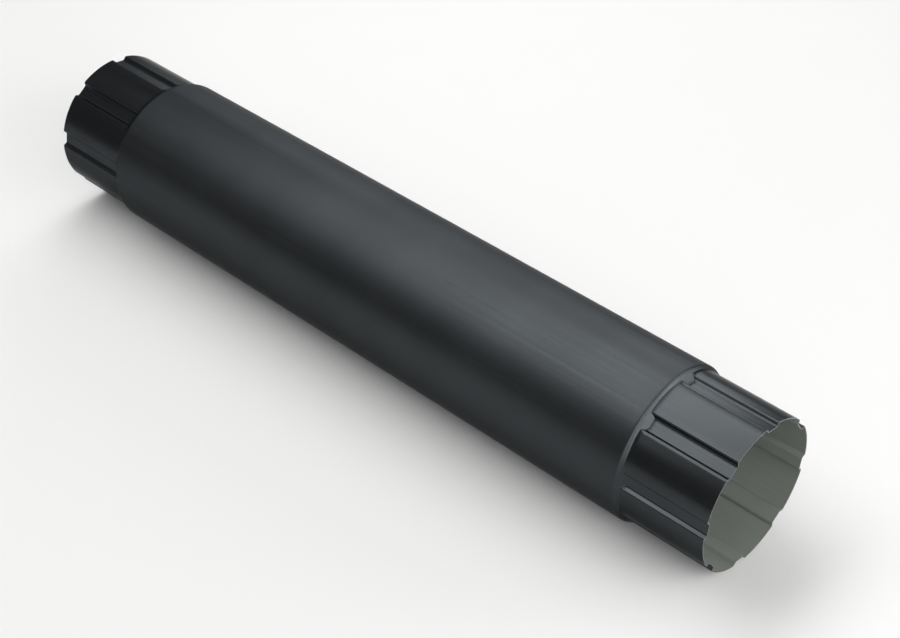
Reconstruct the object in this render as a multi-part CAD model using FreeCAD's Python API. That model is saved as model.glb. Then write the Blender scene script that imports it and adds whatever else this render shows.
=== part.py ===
# Round downpipe extension in coated sheet steel, swaged to a fluted spigot at both ends.
#
# The pipe is one length of thin sheet. Its middle is a plain round body. At each end the sheet is
# pressed in by a conical shoulder with a rolled edge, and goes on as a narrower spigot that plugs
# into the next pipe. Flutes pressed into each spigot let it squeeze into that pipe, and they run
# from the shoulder's cone to the square-cut end.
#
# Frame: the pipe lies along X on a level floor. The origin is under the middle of its length, on
# the floor, +Z is up and the axis is at the height of the body's radius. Millimetres.

import FreeCAD, Part
import math
import os

# Pipe
pipe_length = 545.0
body_diameter = 100.0
sheet_thickness = 0.6

# Spigot, the same at both ends. It goes into the bore of a pipe with this one's body and sheet,
# and the clearance is the gap all round between that bore and the spigot's crests.
spigot_clearance = 1.6
spigot_length = 57.2

# Shoulder between the body and the spigot
shoulder_angle = 45.0
shoulder_edge_radius = 2.5

# Flutes in the spigot
flute_count = 8
flute_depth = 2.8
flute_floor_width = 8.0
flute_wall_angle = 26.0
flute_floor_radius = 0.5
flute_crest_radius = 0.8
first_flute_turn = 9.1

# The inner form is this much longer than the pipe at each end, so that it cuts both ends open
open_end_margin = 5.0

body_radius = body_diameter / 2
bore_radius = body_radius - sheet_thickness
spigot_radius = bore_radius - spigot_clearance
floor_distance = spigot_radius - flute_depth
half_length = pipe_length / 2
foot_position = half_length - spigot_length

along_pipe = FreeCAD.Vector(1, 0, 0)
pipe_axis_height = FreeCAD.Vector(0, 0, body_radius)


def barrel(inset):
    """The body with a cone at each end, turned about X. The cones run on inside the spigots."""
    slope = math.radians(shoulder_angle)
    radius = body_radius - inset
    edge_radius = shoulder_edge_radius - inset
    # A surface that is offset inwards along its normal moves the cone's line towards the middle
    line_shift = inset / math.sin(slope)
    tip_radius = floor_distance / 2

    def cone_position(at_radius):
        return foot_position - line_shift + (spigot_radius - at_radius) / math.tan(slope)

    sharp_edge = cone_position(radius)
    arc_start = sharp_edge - edge_radius * math.tan(slope / 2)
    arc_centre_radius = radius - edge_radius
    arc_middle = (arc_start + edge_radius * math.sin(slope / 2),
                  arc_centre_radius + edge_radius * math.cos(slope / 2))
    arc_end = (arc_start + edge_radius * math.sin(slope),
               arc_centre_radius + edge_radius * math.cos(slope))
    tip = cone_position(tip_radius)

    def point(position, distance):
        return FreeCAD.Vector(position, 0, distance)

    plus_x = [Part.Arc(point(arc_start, radius), point(*arc_middle), point(*arc_end)).toShape(),
              Part.makeLine(point(*arc_end), point(tip, tip_radius)),
              Part.makeLine(point(tip, tip_radius), point(tip, 0))]
    minus_x = [edge.mirror(FreeCAD.Vector(), along_pipe) for edge in plus_x]
    body_line = Part.makeLine(point(-arc_start, radius), point(arc_start, radius))
    axis_line = Part.makeLine(point(-tip, 0), point(tip, 0))
    outline = Part.Wire(Part.__sortEdges__([body_line, axis_line] + plus_x + minus_x))
    return Part.Face(outline).revolve(FreeCAD.Vector(), along_pipe, 360)


def flute_groove(inset, half):
    """What one flute takes out of a round bar: a straight groove with slanting walls."""
    wall = math.radians(flute_wall_angle)
    floor_height = floor_distance - inset
    top_height = spigot_radius + flute_depth
    half_floor = flute_floor_width / 2 + inset / math.cos(wall) - inset * math.tan(wall)
    half_top = half_floor + (top_height - floor_height) * math.tan(wall)
    corners = [FreeCAD.Vector(-half, -half_floor, floor_height),
               FreeCAD.Vector(-half, half_floor, floor_height),
               FreeCAD.Vector(-half, half_top, top_height),
               FreeCAD.Vector(-half, -half_top, top_height)]
    return Part.Face(Part.makePolygon(corners + corners[:1])).extrude(along_pipe * 2 * half)


def long_edges(shape, is_wanted):
    """Straight edges along X whose distance from the axis is_wanted accepts."""
    found = []
    for edge in shape.Edges:
        start = edge.Vertexes[0].Point
        end = edge.Vertexes[-1].Point
        if abs(end.x - start.x) > pipe_length / 2 and is_wanted(math.hypot(start.y, start.z)):
            found.append(edge)
    return found


def fluted_bar(inset, end_margin):
    """The spigot's section, running the whole length, so that both ends' flutes are in line."""
    half = half_length + end_margin
    crest = spigot_radius - inset
    bar = Part.makeCylinder(crest, 2 * half, FreeCAD.Vector(-half, 0, 0), along_pipe)
    groove = flute_groove(inset, half)
    grooves = []
    for index in range(flute_count):
        turned = groove.copy()
        turned.rotate(FreeCAD.Vector(), along_pipe, -first_flute_turn - index * 360 / flute_count)
        grooves.append(turned)
    bar = bar.cut(grooves)
    middle = crest - flute_depth / 2
    floor_edges = long_edges(bar, lambda distance: distance < middle)
    bar = bar.makeFillet(flute_floor_radius + inset, floor_edges)
    # The round bar's own seam line lies on a crest or is cut away: only the flute lips are rounded
    lips = [edge for edge in long_edges(bar, lambda distance: distance > middle)
            if is_lip(bar, edge)]
    return bar.makeFillet(flute_crest_radius - inset, lips)


def is_lip(shape, edge):
    """A lip is where a flat flute wall meets the round crest."""
    faces = shape.ancestorsOfType(edge, Part.Face)
    kinds = {type(face.Surface).__name__ for face in faces}
    return kinds == {"Plane", "Cylinder"}


def pipe_form(inset, end_margin):
    """A solid whose surface is the sheet's outside, moved in by the inset."""
    return barrel(inset).fuse(fluted_bar(inset, end_margin))


def downpipe():
    """The sheet itself: the outer form with the inner one, one sheet thickness smaller, cut out."""
    pipe = pipe_form(0, 0).cut(pipe_form(sheet_thickness, open_end_margin))
    pipe.translate(pipe_axis_height)
    return pipe


os.makedirs("parts", exist_ok=True)
shape = downpipe()
print("solids", len(shape.Solids), "valid", shape.isValid(), "volume", round(shape.Volume), "mm3")
shape.exportStep("parts/downpipe.step")
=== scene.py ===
import math

import bmesh
import bpy
from bpy.props import FloatProperty, FloatVectorProperty, IntProperty, PointerProperty
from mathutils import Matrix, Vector


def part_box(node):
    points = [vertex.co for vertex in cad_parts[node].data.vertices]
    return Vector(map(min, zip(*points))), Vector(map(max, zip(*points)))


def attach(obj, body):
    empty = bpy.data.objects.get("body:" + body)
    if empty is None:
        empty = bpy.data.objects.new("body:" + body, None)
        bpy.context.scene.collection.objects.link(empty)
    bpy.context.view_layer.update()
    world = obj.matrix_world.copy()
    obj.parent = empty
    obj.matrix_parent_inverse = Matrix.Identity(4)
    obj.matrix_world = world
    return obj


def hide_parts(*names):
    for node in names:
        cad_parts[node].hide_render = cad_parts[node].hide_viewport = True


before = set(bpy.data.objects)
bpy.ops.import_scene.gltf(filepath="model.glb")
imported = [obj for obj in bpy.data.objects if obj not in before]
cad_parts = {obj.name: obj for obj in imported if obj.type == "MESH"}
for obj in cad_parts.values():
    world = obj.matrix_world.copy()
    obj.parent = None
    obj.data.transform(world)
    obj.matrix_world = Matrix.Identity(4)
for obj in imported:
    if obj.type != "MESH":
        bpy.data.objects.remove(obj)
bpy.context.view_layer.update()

bl_info = {
    "name": "Downpipe length",
    "version": (1, 0, 0),
    "blender": (4, 5, 0),
    "location": "View3D > Sidebar > Downpipe",
    "description": "A coil-coated steel downpipe length with a fluted spigot at both ends, and its studio",
    "category": "Object",
}

PIPE_NODE = "downpipe"
PIPE_LOW, PIPE_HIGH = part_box(PIPE_NODE)

# Millimetres are easier to read than metres for a part of this size
MM = 0.001
# Two places along the pipe count as the same when they are this close
SAME_PLACE = 0.02 * MM

# Columns of faces round the pipe, from the middle of one flute to the middle of the next. The
# first ones reach from a flute's middle to the edge of its floor, and to its lip, and the crest
# between two flutes has the rest.
COLUMNS_PER_FLUTE = 20
FLOOR_COLUMNS = 2
LIP_COLUMNS = 3
# Pressing a flute shifts its columns a little, so a vertex belongs to a column this close to it
NEAR_COLUMN = 0.5

# Rings of faces along the pipe: on the body, as shares of its half length, in the arc of the rolled
# edge, and on the spigot, as shares of the way from the flutes' ramps to the cut end
BODY_RINGS = (0.25, 0.5, 0.75, 0.92)
EDGE_STEPS = 6
SPIGOT_RINGS = (0.05, 0.5, 1.0)
# A ring this far before the rolled edge keeps the shading of the edge off the straight body
EDGE_LEAD_IN = 1.0 * MM
# Faces across each pressed bend
BEND_SEGMENTS = 3
# Faces that meet at a smaller angle than this are shaded as one surface
SMOOTH_ANGLE = math.radians(30)

# The photo's camera, as it was fitted to the pipe's outline. Lens and sensor are in millimetres.
CAMERA_PLACE = (0.61990, -0.61916, 0.74621)
CAMERA_LOOK = (-0.52394, 0.56468, -0.63768)
CAMERA_LENS = 71.715
SENSOR_WIDTH = 36.0

# Strength of the white world, which is also the grey that it shows beyond the floor
WORLD_LIGHT = 0.16
# Side of the square floor, in metres. Between the first two distances from its middle it goes over
# from lit paper to the paper's own colour, and between the other two from that to the world's grey.
FLOOR_WIDTH = 12
OWN_COLOUR_FROM = 0.7
OWN_COLOUR_TO = 1.5
WORLD_GREY_FROM = 2.4
WORLD_GREY_TO = 5.6

# Soft lamps, each with its name, place, aim, size in metres and power in watts
MIDDLE = (0, 0, 0.05)
SOFTBOXES = (
    ("softbox_overhead", (-0.32, 0.0, 1.1), MIDDLE, (1.7, 0.36), 7.2),
    ("softbox_overhead_far", (-0.69, 0.0, 1.05), MIDDLE, (1.9, 0.36), 4.0),
    ("softbox_front_left", (-0.58, -1.12, 0.92), MIDDLE, (0.5, 0.4), 0.6),
    ("softbox_back", (-0.88, 1.2, 0.56), (-0.88, 0.0, 0.05), (1.24, 1.0), 8.2),
    ("softbox_right", (1.05, -0.25, 0.71), MIDDLE, (1.3, 0.7), 10.5),
    ("softbox_right_back", (0.89, 0.89, 0.32), MIDDLE, (0.9, 0.6), 5.0),
)
# Lamps that the rolled edge, the shoulder and the near spigot mirror. They give gloss and no
# diffuse light, so they leave the floor as it is and add only a faint gloss inside the pipe.
GLOSS_SOFTBOXES = (
    ("softbox_top", (0.22, 0.0, 1.15), MIDDLE, (1.6, 0.75), 5.6),
    ("softbox_right_front", (0.97, -0.82, 0.27), MIDDLE, (0.8, 0.5), 3.2),
    ("softbox_right_high", (1.0, 0.56, 0.75), MIDDLE, (0.5, 0.5), 4.0),
    ("softbox_back_right", (0.44, 0.97, 0.92), MIDDLE, (0.95, 0.6), 3.9),
    ("softbox_back_strip", (-0.345, 1.18, 0.56), (-0.345, 0.0, 0.05), (0.17, 1.0), 1.35),
)


def linear(hex_colour):
    """An sRGB hex colour as Blender's linear red, green, blue and alpha."""
    channels = []
    for start in (1, 3, 5):
        value = int(hex_colour[start:start + 2], 16) / 255
        channels.append(value / 12.92 if value <= 0.04045 else ((value + 0.055) / 1.055) ** 2.4)
    return (*channels, 1.0)


def length_value(name, description, default):
    return FloatProperty(name=name, description=description, default=default, unit="LENGTH", min=0)


def angle_value(name, description, degrees):
    return FloatProperty(name=name, description=description, default=math.radians(degrees),
                         subtype="ANGLE", unit="ROTATION")


def colour_value(name, description, hex_colour):
    return FloatVectorProperty(name=name, description=description, default=linear(hex_colour),
                               size=4, subtype="COLOR", min=0, max=1)


class DownpipeSizes(bpy.types.PropertyGroup):
    """Sizes of the sheet and of how it is swaged."""

    pipe_length: length_value("Length", "From one cut end to the other", PIPE_HIGH.x - PIPE_LOW.x)
    body_diameter: length_value("Body diameter", "Outside of the plain body", PIPE_HIGH.z)
    sheet_thickness: length_value("Sheet", "Thickness of the steel sheet", 0.6 * MM)
    spigot_clearance: length_value("Spigot clearance", "Gap all round inside the next pipe", 1.6 * MM)
    spigot_length: length_value("Spigot length", "From the shoulder's foot to the cut end", 57.2 * MM)
    shoulder_angle: angle_value("Shoulder angle", "The shoulder's cone, from the axis", 45)
    shoulder_edge_radius: length_value("Shoulder edge", "Rolled edge of the body", 2.5 * MM)
    flute_count: IntProperty(name="Flutes", description="Flutes round a spigot", default=8, min=3)
    flute_depth: length_value("Flute depth", "From the crests down to a flute's floor", 2.8 * MM)
    flute_floor_width: length_value("Flute floor", "Flat width of a flute's floor", 8.0 * MM)
    flute_wall_angle: angle_value("Flute wall", "A flute wall's slant", 26)
    bend_width: length_value("Bend", "Width of a pressed bend, each side of its line", 0.8 * MM)
    first_flute_turn: angle_value("First flute", "Turn of the first flute from the top", 9.1)


class DownpipeFinishes(bpy.types.PropertyGroup):
    """Colours of the sheet's finishes and of the studio."""

    top_coat: colour_value("Top coat", "Dark grey coil coat outside", "#383b3d")
    top_coat_light: colour_value("Top coat, light", "The coat where its film is thinner", "#3e4143")
    edge_tint: colour_value("Top coat, edge", "How much the coat mirrors at a grazing angle", "#ababab")
    backing_coat: colour_value("Backing coat", "Olive grey primer inside", "#757a73")
    backing_coat_thin: colour_value("Backing coat, thin", "Primer with zinc under it", "#80857e")
    cut_steel: colour_value("Cut steel", "Bare steel at the sheared ends", "#6f7273")
    smeared_zinc: colour_value("Smeared zinc", "Zinc dragged over the cut", "#929596")
    floor: colour_value("Floor", "Studio paper", "#ebebea")


def add_node(tree, kind, settings=None, links=None):
    """Adds a node, gives its properties and sockets their settings, and links its inputs.

    Sockets go by identifier, because a node can have several sockets of one name.
    """
    node = tree.nodes.new(kind)
    sockets = {socket.identifier: socket for socket in node.inputs}
    for name, value in (settings or {}).items():
        if name in sockets:
            sockets[name].default_value = value
        else:
            setattr(node, name, value)
    for name, source in (links or {}).items():
        tree.links.new(source, sockets[name])
    return node


def new_material(name, shader_settings):
    """A material with one Principled shader, and the tree to add its detail to."""
    material = bpy.data.materials.new(name)
    material.use_nodes = True
    tree = material.node_tree
    tree.nodes.clear()
    shader = add_node(tree, "ShaderNodeBsdfPrincipled", shader_settings)
    add_node(tree, "ShaderNodeOutputMaterial", links={"Surface": shader.outputs["BSDF"]})
    return material, tree, shader


def top_coat_material(finishes, pressing):
    """Dark grey polyester coil coat with metal pigment, rolled on to the strip and oven cured.

    The flat pigment gives the eye a soft mirror in the coat's own dark colour: satin grey where a
    lamp shines, close to black elsewhere, and none of the chalky light of a plain paint.
    """
    material, tree, shader = new_material(
        "coil_coated_steel_dark_grey",
        {"Metallic": 0.9, "IOR": 1.5, "Specular IOR Level": 0.2,
         "Specular Tint": finishes.edge_tint},
    )
    place = add_node(tree, "ShaderNodeTexCoord").outputs["Object"]
    # The film is a shade thicker here and thinner there, in clouds of about 60 mm
    clouds = add_node(tree, "ShaderNodeTexNoise", {"Scale": 1 / (60 * MM), "Detail": 2.0},
                      {"Vector": place})
    # Pigment flakes are about 0.03 mm across. They are drawn 0.9 mm across, so that they show.
    flakes = add_node(tree, "ShaderNodeTexNoise", {"Scale": 1 / (0.9 * MM), "Detail": 1.0},
                      {"Vector": place})
    speckle = add_node(tree, "ShaderNodeMath", {"operation": "MULTIPLY_ADD", "Value_001": 0.35},
                       {"Value": flakes.outputs["Fac"], "Value_002": clouds.outputs["Fac"]})
    share = add_node(tree, "ShaderNodeMapRange", {"From Min": 0.45, "From Max": 0.9},
                     {"Value": speckle.outputs["Value"]})
    colour = add_node(tree, "ShaderNodeMix",
                      {"data_type": "RGBA", "A_Color": finishes.top_coat,
                       "B_Color": finishes.top_coat_light},
                      {"Factor_Float": share.outputs["Result"]})
    tree.links.new(colour.outputs["Result"], shader.inputs["Base Color"])
    # The coating roller and the leveller leave streaks along the strip, about 1.5 mm apart
    along = add_node(tree, "ShaderNodeMapping",
                     {"Scale": (1 / (140 * MM), 1 / (1.5 * MM), 1 / (1.5 * MM))},
                     {"Vector": place})
    streaks = add_node(tree, "ShaderNodeTexNoise", {"Scale": 1.0, "Detail": 2.0},
                       {"Vector": along.outputs["Vector"]})
    gloss = add_node(tree, "ShaderNodeMapRange",
                     {"From Min": 0.3, "From Max": 0.7, "To Min": 0.34, "To Max": 0.42},
                     {"Value": streaks.outputs["Fac"]})
    # The swaging tool irons the coat smoother on the shoulders and spigots
    axes = add_node(tree, "ShaderNodeSeparateXYZ", links={"Vector": place})
    from_middle = add_node(tree, "ShaderNodeMath", {"operation": "ABSOLUTE"},
                           {"Value": axes.outputs["X"]})
    ironed = add_node(tree, "ShaderNodeMapRange",
                      {"From Min": pressing.edge_end, "From Max": pressing.foot},
                      {"Value": from_middle.outputs["Value"]})
    roughness = add_node(tree, "ShaderNodeMath", {"operation": "MULTIPLY_ADD", "Value_001": -0.16},
                         {"Value": ironed.outputs["Result"], "Value_002": gloss.outputs["Result"]})
    tree.links.new(roughness.outputs["Value"], shader.inputs["Roughness"])
    # Cured coil coat has a faint peel, ripples about 4 mm long and a few micrometres high
    peel = add_node(tree, "ShaderNodeTexNoise", {"Scale": 1 / (4 * MM), "Detail": 1.0},
                    {"Vector": place})
    bump = add_node(tree, "ShaderNodeBump", {"Strength": 1.0, "Distance": 0.006 * MM},
                    {"Height": peel.outputs["Fac"]})
    tree.links.new(bump.outputs["Normal"], shader.inputs["Normal"])
    return material


def backing_coat_material(finishes):
    """Thin epoxy primer on the back of the strip, rolled on: matt, cloudy and streaked lengthways."""
    material, tree, shader = new_material(
        "epoxy_backing_coat_olive", {"Metallic": 0.0, "IOR": 1.5, "Specular IOR Level": 0.4}
    )
    place = add_node(tree, "ShaderNodeTexCoord").outputs["Object"]
    # The thin coat lets the zinc under it show through in streaks along the strip, 2 mm apart
    along = add_node(tree, "ShaderNodeMapping",
                     {"Scale": (1 / (90 * MM), 1 / (2 * MM), 1 / (2 * MM))}, {"Vector": place})
    streaks = add_node(tree, "ShaderNodeTexNoise", {"Scale": 1.0, "Detail": 3.0},
                       {"Vector": along.outputs["Vector"]})
    # Its film also varies in clouds of about 25 mm
    clouds = add_node(tree, "ShaderNodeTexNoise", {"Scale": 1 / (25 * MM), "Detail": 2.0},
                      {"Vector": place})
    blend = add_node(tree, "ShaderNodeMath", {"operation": "ADD"},
                     {"Value": streaks.outputs["Fac"], "Value_001": clouds.outputs["Fac"]})
    share = add_node(tree, "ShaderNodeMapRange", {"From Min": 0.5, "From Max": 1.5},
                     {"Value": blend.outputs["Value"]})
    colour = add_node(tree, "ShaderNodeMix",
                      {"data_type": "RGBA", "A_Color": finishes.backing_coat,
                       "B_Color": finishes.backing_coat_thin},
                      {"Factor_Float": share.outputs["Result"]})
    tree.links.new(colour.outputs["Result"], shader.inputs["Base Color"])
    gloss = add_node(tree, "ShaderNodeMapRange", {"To Min": 0.5, "To Max": 0.62},
                     {"Value": clouds.outputs["Fac"]})
    tree.links.new(gloss.outputs["Result"], shader.inputs["Roughness"])
    # Primer is left with a fine tooth of about 0.5 mm and some micrometres
    tooth = add_node(tree, "ShaderNodeTexNoise", {"Scale": 1 / (0.5 * MM), "Detail": 1.0},
                     {"Vector": place})
    bump = add_node(tree, "ShaderNodeBump", {"Strength": 1.0, "Distance": 0.004 * MM},
                    {"Height": tooth.outputs["Fac"]})
    tree.links.new(bump.outputs["Normal"], shader.inputs["Normal"])
    return material


def cut_edge_material(finishes):
    """Sheared galvanised steel: grey steel with brighter zinc smeared over it by the blade."""
    material, tree, shader = new_material("sheared_galvanised_steel", {"Metallic": 1.0})
    place = add_node(tree, "ShaderNodeTexCoord").outputs["Object"]
    # The blade drags the zinc into smears about 0.8 mm long
    smears = add_node(tree, "ShaderNodeTexNoise", {"Scale": 1 / (0.8 * MM), "Detail": 3.0},
                      {"Vector": place})
    share = add_node(tree, "ShaderNodeMapRange", {"From Min": 0.4, "From Max": 0.6},
                     {"Value": smears.outputs["Fac"]})
    colour = add_node(tree, "ShaderNodeMix",
                      {"data_type": "RGBA", "A_Color": finishes.cut_steel,
                       "B_Color": finishes.smeared_zinc},
                      {"Factor_Float": share.outputs["Result"]})
    tree.links.new(colour.outputs["Result"], shader.inputs["Base Color"])
    # The smeared zinc is smoother than the torn steel
    gloss = add_node(tree, "ShaderNodeMapRange", {"To Min": 0.55, "To Max": 0.38},
                     {"Value": share.outputs["Result"]})
    tree.links.new(gloss.outputs["Result"], shader.inputs["Roughness"])
    return material


def paper_material(finishes):
    """Matt studio background paper, with the faint tooth of uncoated paper."""
    material, tree, shader = new_material(
        "studio_paper",
        {"Base Color": finishes.floor, "Roughness": 0.9, "Specular IOR Level": 0.0},
    )
    place = add_node(tree, "ShaderNodeTexCoord").outputs["Object"]
    tooth = add_node(tree, "ShaderNodeTexNoise", {"Scale": 1 / (1.5 * MM), "Detail": 2.0},
                     {"Vector": place})
    bump = add_node(tree, "ShaderNodeBump", {"Strength": 1.0, "Distance": 0.01 * MM},
                    {"Height": tooth.outputs["Fac"]})
    tree.links.new(bump.outputs["Normal"], shader.inputs["Normal"])
    # Beyond the lamps the paper would look dark. There it shows its own colour to the camera and in
    # mirror images, and gives no diffuse light. Far off it dims to the world's grey.
    distance = add_node(tree, "ShaderNodeVectorMath", {"operation": "LENGTH"}, {"Vector": place})
    dimming = add_node(tree, "ShaderNodeMapRange",
                       {"interpolation_type": "SMOOTHSTEP",
                        "From Min": WORLD_GREY_FROM, "From Max": WORLD_GREY_TO,
                        "To Min": 1.0, "To Max": WORLD_LIGHT / finishes.floor[0]},
                       {"Value": distance.outputs["Value"]})
    own_colour = add_node(tree, "ShaderNodeEmission", {"Color": finishes.floor},
                          {"Strength": dimming.outputs["Result"]})
    beyond_lamps = add_node(tree, "ShaderNodeMapRange",
                            {"interpolation_type": "SMOOTHSTEP",
                             "From Min": OWN_COLOUR_FROM, "From Max": OWN_COLOUR_TO},
                            {"Value": distance.outputs["Value"]})
    rays = add_node(tree, "ShaderNodeLightPath")
    seen = rays.outputs["Is Camera Ray"]
    for kind in ("Is Glossy Ray", "Is Transmission Ray"):
        seen = add_node(tree, "ShaderNodeMath", {"operation": "MAXIMUM"},
                        {"Value": seen, "Value_001": rays.outputs[kind]}).outputs["Value"]
    share = add_node(tree, "ShaderNodeMath", {"operation": "MULTIPLY"},
                     {"Value": seen, "Value_001": beyond_lamps.outputs["Result"]})
    look = add_node(tree, "ShaderNodeMixShader", {},
                    {"Fac": share.outputs["Value"], "Shader": shader.outputs["BSDF"],
                     "Shader_001": own_colour.outputs["Emission"]})
    tree.links.new(look.outputs["Shader"], tree.nodes["Material Output"].inputs["Surface"])
    return material


def select_parts(piece, kind, wanted):
    """In edit mode, selects the vertices, edges or faces that pass the test, and nothing else."""
    bpy.ops.mesh.select_mode(type=kind)
    bpy.ops.mesh.select_all(action="DESELECT")
    mesh = bmesh.from_edit_mesh(piece.data)
    parts = {"VERT": mesh.verts, "EDGE": mesh.edges, "FACE": mesh.faces}[kind]
    for part in parts:
        if wanted(part):
            part.select_set(True)
    mesh.select_flush(True)
    bmesh.update_edit_mesh(piece.data)


class Pressing:
    """Places in the swaged end that the steps of the modelling share, with the axis along X."""

    def __init__(self, sizes):
        self.half_length = sizes.pipe_length / 2
        self.body_radius = sizes.body_diameter / 2
        self.crest_radius = self.body_radius - sizes.sheet_thickness - sizes.spigot_clearance
        self.floor_distance = self.crest_radius - sizes.flute_depth
        self.half_floor = sizes.flute_floor_width / 2
        self.flute_pitch = math.tau / sizes.flute_count
        self.column = self.flute_pitch / COLUMNS_PER_FLUTE
        self.slope = sizes.shoulder_angle
        self.edge_radius = sizes.shoulder_edge_radius
        self.foot = self.half_length - sizes.spigot_length
        self.ramp_end = self.foot + sizes.flute_depth / math.tan(self.slope)
        sharp_edge = self.foot - (self.body_radius - self.crest_radius) / math.tan(self.slope)
        self.edge_start = sharp_edge - self.edge_radius * math.tan(self.slope / 2)
        self.edge_end = self.edge_start + self.edge_radius * math.sin(self.slope)
        # Where a flute's slanting wall meets the crest circle
        rise = math.tan(math.pi / 2 - sizes.flute_wall_angle)
        start = self.floor_distance - rise * self.half_floor
        spread = 1 + rise ** 2
        root = math.sqrt((rise * start) ** 2 - spread * (start ** 2 - self.crest_radius ** 2))
        self.half_mouth = (root - rise * start) / spread
        self.mouth_height = math.sqrt(self.crest_radius ** 2 - self.half_mouth ** 2)

    def stations(self):
        """Distance from the middle and radius of each ring, from the middle to the cut end."""
        rings = [(0.0, self.body_radius)]
        for share in BODY_RINGS:
            rings.append((share * self.edge_start, self.body_radius))
        rings.append((self.edge_start - EDGE_LEAD_IN, self.body_radius))
        for step in range(EDGE_STEPS + 1):
            turn = self.slope * step / EDGE_STEPS
            drop = self.edge_radius * (1 - math.cos(turn))
            rings.append((self.edge_start + self.edge_radius * math.sin(turn),
                          self.body_radius - drop))
        rings.append((self.foot, self.crest_radius))
        rings.append((self.ramp_end, self.crest_radius))
        for share in SPIGOT_RINGS:
            rings.append((self.ramp_end + share * (self.half_length - self.ramp_end),
                          self.crest_radius))
        return rings

    def columns_from_flute(self, point):
        """How many columns a point lies from the middle of the nearest flute, before the turn."""
        angle = math.atan2(point.y, point.z)
        return abs((angle / self.flute_pitch + 0.5) % 1 - 0.5) * COLUMNS_PER_FLUTE

    def is_lip(self, point):
        near = abs(self.columns_from_flute(point) - LIP_COLUMNS) < NEAR_COLUMN
        return near and point.x > self.foot - SAME_PLACE

    def is_floor_edge(self, point):
        near = abs(self.columns_from_flute(point) - FLOOR_COLUMNS) < NEAR_COLUMN
        return near and point.x > self.ramp_end - SAME_PLACE

    def is_bend(self, edge):
        """Whether the sheet is bent along this edge of the swaged end."""
        points = [vertex.co for vertex in edge.verts]
        lips = [self.is_lip(point) for point in points]
        floor_edges = [self.is_floor_edge(point) for point in points]
        if all(lips) or all(floor_edges):
            return True
        # The corner between a flute's wall and its ramp runs from the lip to the floor's edge
        if any(lips) and any(floor_edges):
            return True
        # The cone's foot is bent between the flutes, and a ramp's end is bent across a flute's floor
        middle = self.columns_from_flute((points[0] + points[1]) / 2)
        if all(abs(point.x - self.foot) < SAME_PLACE for point in points):
            return middle > LIP_COLUMNS
        if all(abs(point.x - self.ramp_end) < SAME_PLACE for point in points):
            return middle < FLOOR_COLUMNS
        return False


def extrude_rings(pressing):
    """Half of the pipe: a ring at the middle, extruded station by station and scaled to its radius."""
    stations = pressing.stations()
    vertices = round(math.tau / pressing.column)
    bpy.ops.mesh.primitive_circle_add(vertices=vertices, radius=pressing.body_radius,
                                      enter_editmode=True)
    piece = bpy.context.object
    bpy.ops.transform.rotate(value=math.pi / 2, orient_axis="Y", center_override=(0, 0, 0))
    for (last_place, last_radius), (place, radius) in zip(stations, stations[1:]):
        step = (place - last_place, 0, 0)
        bpy.ops.mesh.extrude_region_move(TRANSFORM_OT_translate={"value": step})
        scale = radius / last_radius
        bpy.ops.transform.resize(value=(1, scale, scale), center_override=(0, 0, 0))
    return piece


def press_flutes(piece, pressing, flute_count):
    """Presses one flute at the top, turns the pipe on to the next, and so on all round."""
    lip_angle = LIP_COLUMNS * pressing.column
    floor_angle = FLOOR_COLUMNS * pressing.column
    draw_in = pressing.half_mouth / (pressing.crest_radius * math.sin(lip_angle))
    lift = pressing.mouth_height / (pressing.crest_radius * math.cos(lip_angle))
    widen = pressing.half_floor / (pressing.crest_radius * math.sin(floor_angle))

    def at_top(point, columns):
        reach = (columns + NEAR_COLUMN) * pressing.column
        return abs(math.atan2(point.y, point.z)) < reach

    for _ in range(flute_count):
        select_parts(piece, "VERT", lambda vertex: at_top(vertex.co, LIP_COLUMNS)
                     and pressing.is_lip(vertex.co))
        bpy.ops.transform.resize(value=(1, draw_in, lift), center_override=(0, 0, 0))
        select_parts(piece, "VERT", lambda vertex: at_top(vertex.co, FLOOR_COLUMNS)
                     and vertex.co.x > pressing.ramp_end - SAME_PLACE)
        bpy.ops.transform.resize(value=(1, widen, 0),
                                 center_override=(0, 0, pressing.floor_distance))
        bpy.ops.mesh.select_all(action="SELECT")
        bpy.ops.transform.rotate(value=pressing.flute_pitch, orient_axis="X",
                                 center_override=(0, 0, 0))


def bend_edges(piece, pressing, bend_width):
    """Splits each flute's wall from its ramp along the corner between them, and rounds every bend."""

    def is_corner_end(vertex):
        at_foot = abs(vertex.co.x - pressing.foot) < SAME_PLACE
        at_ramp_end = abs(vertex.co.x - pressing.ramp_end) < SAME_PLACE
        return ((at_foot and pressing.is_lip(vertex.co))
                or (at_ramp_end and pressing.is_floor_edge(vertex.co)))

    select_parts(piece, "VERT", is_corner_end)
    bpy.ops.mesh.vert_connect()
    select_parts(piece, "EDGE", pressing.is_bend)
    bpy.ops.mesh.bevel(offset=bend_width, segments=BEND_SEGMENTS, affect="EDGES",
                       clamp_overlap=True)


def apply_modifier(piece, kind, **settings):
    modifier = piece.modifiers.new(kind.lower(), kind)
    for name, value in settings.items():
        setattr(modifier, name, value)
    bpy.ops.object.modifier_apply(modifier=modifier.name)


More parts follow.
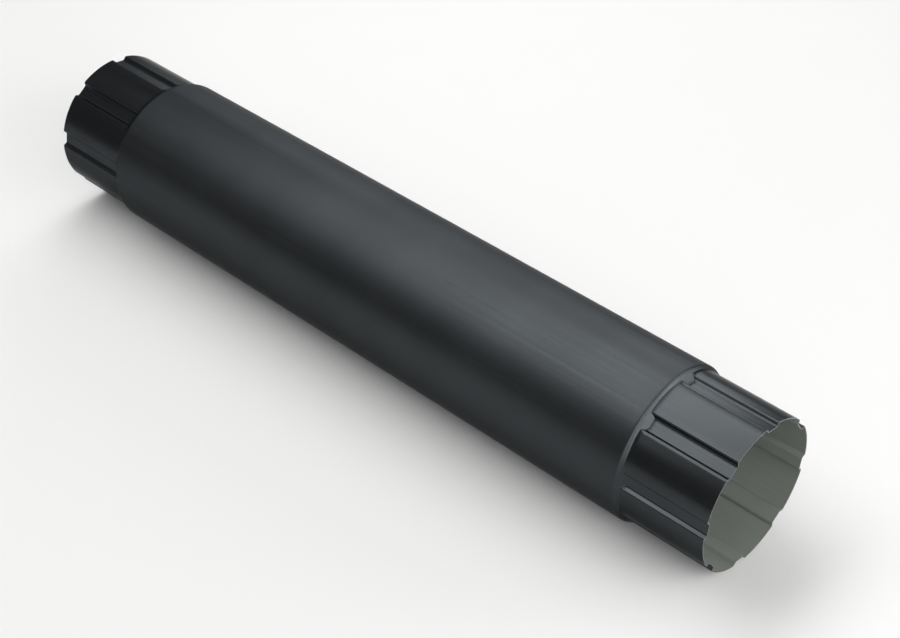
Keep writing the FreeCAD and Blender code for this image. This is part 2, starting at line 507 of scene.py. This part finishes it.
class DOWNPIPE_OT_sheet(bpy.types.Operator):
    """Models the swaged sheet, gives it its coats and cut edge, and rides it on the pipe"""

    bl_idname = "downpipe.sheet"
    bl_label = "Downpipe sheet"

    def execute(self, context):
        sizes = context.scene.downpipe_sizes
        finishes = context.scene.downpipe_finishes
        pressing = Pressing(sizes)
        bpy.ops.object.select_all(action="DESELECT")
        piece = extrude_rings(pressing)
        press_flutes(piece, pressing, sizes.flute_count)
        bend_edges(piece, pressing, sizes.bend_width)
        bpy.ops.mesh.select_all(action="SELECT")
        bpy.ops.mesh.normals_make_consistent(inside=False)
        bpy.ops.transform.rotate(value=sizes.first_flute_turn, orient_axis="X",
                                 center_override=(0, 0, 0))
        bpy.ops.transform.translate(value=(0, 0, pressing.body_radius))
        bpy.ops.object.mode_set(mode="OBJECT")
        piece.name = "downpipe_sheet"
        piece.data.name = "downpipe_sheet"
        for material in (top_coat_material(finishes, pressing), backing_coat_material(finishes),
                         cut_edge_material(finishes)):
            piece.data.materials.append(material)
        apply_modifier(piece, "MIRROR", use_axis=(True, False, False), merge_threshold=SAME_PLACE)
        # The sheet gets its thickness inwards, with the backing coat inside and the cut edge between
        apply_modifier(piece, "SOLIDIFY", thickness=sizes.sheet_thickness, offset=-1,
                       use_even_offset=True, material_offset=1, material_offset_rim=2)
        bpy.ops.object.shade_smooth_by_angle(angle=SMOOTH_ANGLE)
        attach(piece, "root")
        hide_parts(PIPE_NODE)
        return {"FINISHED"}


def add_softbox(name, place, aim, size, watts):
    """A rectangular lamp at a place, aimed at a point."""
    lamp = bpy.data.lights.new(name, "AREA")
    lamp.shape = "RECTANGLE"
    lamp.size, lamp.size_y = size
    lamp.energy = watts
    holder = bpy.data.objects.new(name, lamp)
    bpy.context.scene.collection.objects.link(holder)
    holder.location = place
    direction = Vector(aim) - Vector(place)
    holder.rotation_euler = direction.to_track_quat("-Z", "Y").to_euler()
    return holder


class DOWNPIPE_OT_stage(bpy.types.Operator):
    """Sets up the floor, the soft lamps, the world and the camera"""

    bl_idname = "downpipe.stage"
    bl_label = "Downpipe studio"

    def execute(self, context):
        scene = context.scene
        bpy.ops.object.select_all(action="DESELECT")
        bpy.ops.mesh.primitive_plane_add(size=FLOOR_WIDTH)
        floor = context.object
        floor.name = "studio_floor"
        floor.data.materials.append(paper_material(scene.downpipe_finishes))

        for softbox in SOFTBOXES:
            add_softbox(*softbox)
        for softbox in GLOSS_SOFTBOXES:
            add_softbox(*softbox).visible_diffuse = False

        world = bpy.data.worlds.new("studio")
        world.use_nodes = True
        background = world.node_tree.nodes["Background"]
        background.inputs["Color"].default_value = (1, 1, 1, 1)
        background.inputs["Strength"].default_value = WORLD_LIGHT
        scene.world = world

        camera = bpy.data.cameras.new("photo_camera")
        camera.sensor_width = SENSOR_WIDTH
        camera.lens = CAMERA_LENS
        holder = bpy.data.objects.new("photo_camera", camera)
        scene.collection.objects.link(holder)
        holder.location = CAMERA_PLACE
        holder.rotation_euler = Vector(CAMERA_LOOK).to_track_quat("-Z", "Y").to_euler()
        scene.camera = holder
        scene.view_settings.view_transform = "Standard"
        return {"FINISHED"}


class DOWNPIPE_PT_panel(bpy.types.Panel):
    """Lists the sizes, the finishes and the operators"""

    bl_label = "Downpipe"
    bl_idname = "DOWNPIPE_PT_panel"
    bl_space_type = "VIEW_3D"
    bl_region_type = "UI"
    bl_category = "Downpipe"

    def draw(self, context):
        column = self.layout.column()
        for group in (context.scene.downpipe_sizes, context.scene.downpipe_finishes):
            for name in group.bl_rna.properties.keys():
                if name not in ("rna_type", "name"):
                    column.prop(group, name)
        for operator in (DOWNPIPE_OT_sheet, DOWNPIPE_OT_stage):
            column.operator(operator.bl_idname)


CLASSES = (DownpipeSizes, DownpipeFinishes, DOWNPIPE_OT_sheet, DOWNPIPE_OT_stage,
           DOWNPIPE_PT_panel)


def register():
    for cls in CLASSES:
        bpy.utils.register_class(cls)
    bpy.types.Scene.downpipe_sizes = PointerProperty(type=DownpipeSizes)
    bpy.types.Scene.downpipe_finishes = PointerProperty(type=DownpipeFinishes)


def unregister():
    del bpy.types.Scene.downpipe_finishes
    del bpy.types.Scene.downpipe_sizes
    for cls in reversed(CLASSES):
        bpy.utils.unregister_class(cls)


def main():
    register()
    bpy.ops.downpipe.sheet()
    bpy.ops.downpipe.stage()


if __name__ == "__main__":
    main()
